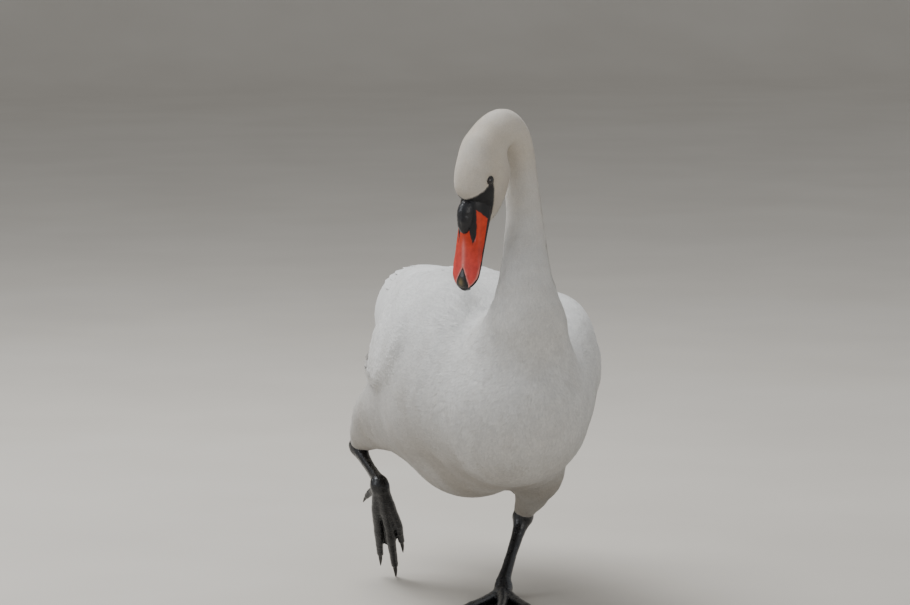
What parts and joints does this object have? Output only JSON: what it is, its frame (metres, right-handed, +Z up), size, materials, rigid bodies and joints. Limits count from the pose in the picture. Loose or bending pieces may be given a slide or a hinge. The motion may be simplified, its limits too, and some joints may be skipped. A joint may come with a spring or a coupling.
{
  "type": "mute swan",
  "caption": "Life-size mute swan walking with bowed, turned head and arched neck, folded wings, orange bill with a black knob, and webbed feet.",
  "frame": {"origin": "on the floor, under the middle of the swan's box", "axes": "+Z up; the swan walks towards -Y, so its own left side is at +X and its tail points to +Y"},
  "size_m": [0.269, 0.7248, 0.6157],
  "materials": {
    "plumage": "soft white feathers, stained buff on the head and neck",
    "eye": "wet gloss, dark brown",
    "bill": "smooth horn, orange-red with a pinker tip",
    "black_skin": "smooth black skin and horn with a slight gloss",
    "leg_skin": "scaly blackish-grey skin with a slight gloss"
  },
  "bodies": {
    "root": {"head": "plumage", "neck_upper": "plumage", "neck_middle": "plumage", "neck_lower": "plumage", "trunk": "plumage", "thigh_left": "plumage", "thigh_right": "plumage", "tail": "plumage", "wing_left": "plumage", "wing_right": "plumage", "eye_left": "eye", "eye_right": "eye", "bill_upper": "bill", "bill_knob": "black_skin", "bill_lower": "black_skin", "bill_nail": "black_skin", "claw_left_inner": "black_skin", "claw_left_middle": "black_skin", "claw_left_outer": "black_skin", "claw_left_hind": "black_skin", "claw_right_inner": "black_skin", "claw_right_middle": "black_skin", "claw_right_outer": "black_skin", "claw_right_hind": "black_skin", "shank_left": "leg_skin", "shank_right": "leg_skin", "foot_left": "leg_skin", "foot_right": "leg_skin"}
  },
  "joints": []
}
